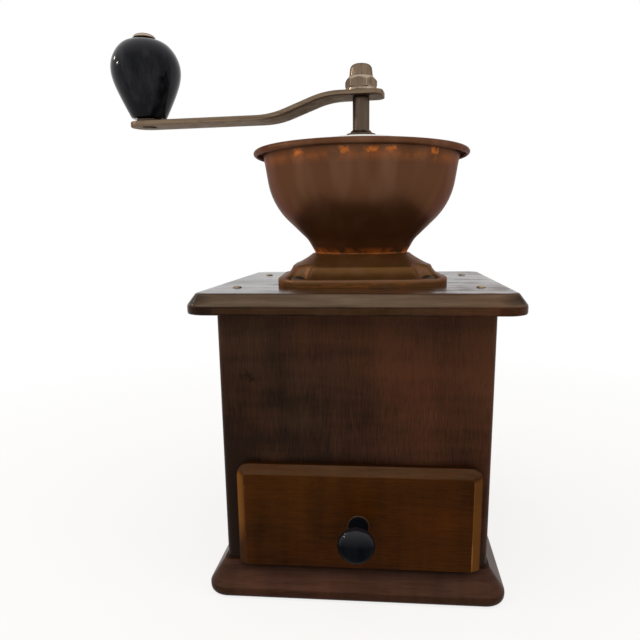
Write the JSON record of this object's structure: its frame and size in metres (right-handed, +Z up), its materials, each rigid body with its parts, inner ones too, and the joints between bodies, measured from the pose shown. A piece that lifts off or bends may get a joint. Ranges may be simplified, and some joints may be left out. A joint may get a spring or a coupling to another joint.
{
  "type": "hand crank coffee grinder",
  "caption": "Wooden box coffee mill with an open copper hopper bowl, a cranked handle that turns conical burrs, a height adjuster below and a drawer for the grounds.",
  "frame": {"origin": "centre of the crank's axis on the flat underside of the base board", "axes": "+Z up along the crank's axis, -Y out of the drawer's front, +X to the right of someone facing the drawer"},
  "size_m": [0.1912, 0.154, 0.2533],
  "materials": {
    "case_wood": "dark brown stained hardwood, glossy lacquer worn at the edges",
    "drawer_wood": "dark orange-brown stained hardwood, glossy lacquer",
    "copper_sheet": "brown patinated copper sheet, soft polish",
    "steel": "worn warm grey steel",
    "screw_steel": "dull steel fastener",
    "cast_iron": "dark oiled cast iron",
    "black_lacquer": "turned wood with glossy black lacquer"
  },
  "bodies": {
    "case": {"base_board": "case_wood", "left_wall": "case_wood", "right_wall": "case_wood", "front_wall": "case_wood", "back_wall": "case_wood", "top_board": "case_wood", "base_screws": "screw_steel", "top_board_nails": "screw_steel", "hopper_flange": "copper_sheet", "flange_screws": "screw_steel", "hopper_bowl": "copper_sheet", "hopper_bridge": "steel", "bridge_bush": "steel", "burr_ring": "cast_iron", "burr_ring_screws": "screw_steel", "lower_bracket": "steel", "bracket_screws": "screw_steel", "click_spring": "steel", "click_spring_rivet": "steel"},
    "thrust": {"thrust_ball": "steel"},
    "adjuster": {"adjusting_wheel": "steel"},
    "crank": {"drive_shaft": "steel", "inner_burr": "cast_iron", "burr_nut": "screw_steel", "feed_screw": "cast_iron", "crank_arm": "steel", "crank_washer": "steel", "cap_nut": "steel", "grip_washer": "steel", "grip_pin": "steel"},
    "grip": {"grip": "black_lacquer"},
    "drawer": {"drawer_front": "drawer_wood", "drawer_left_side": "drawer_wood", "drawer_right_side": "drawer_wood", "drawer_back": "drawer_wood", "drawer_bottom": "drawer_wood", "drawer_nails": "screw_steel", "drawer_knob": "black_lacquer", "knob_screw": "screw_steel"}
  },
  "joints": [
    {"name": "shaft_lift", "type": "slide", "parent": "case", "child": "thrust", "axis": [0, 0, 1], "range_m": [-0.001, 0.0005]},
    {"name": "adjuster_turn", "type": "hinge", "parent": "thrust", "child": "adjuster", "pos_m": [0, 0, 0.0724], "axis": [0, 0, 1], "range_deg": [-360, 180]},
    {"name": "crank_turn", "type": "hinge", "parent": "thrust", "child": "crank", "pos_m": [0, 0, 0.2], "axis": [0, 0, 1], "continuous": true},
    {"name": "grip_spin", "type": "hinge", "parent": "crank", "child": "grip", "pos_m": [-0.10622, 0.01116, 0.213], "axis": [0, 0, 1], "continuous": true},
    {"name": "drawer_slide", "type": "slide", "parent": "case", "child": "drawer", "axis": [0, -1, 0], "range_m": [0, 0.088]}
  ],
  "couplings": [
    {"joint": "adjuster_turn", "follows": "shaft_lift", "rad_per_m": 6283.1}
  ]
}
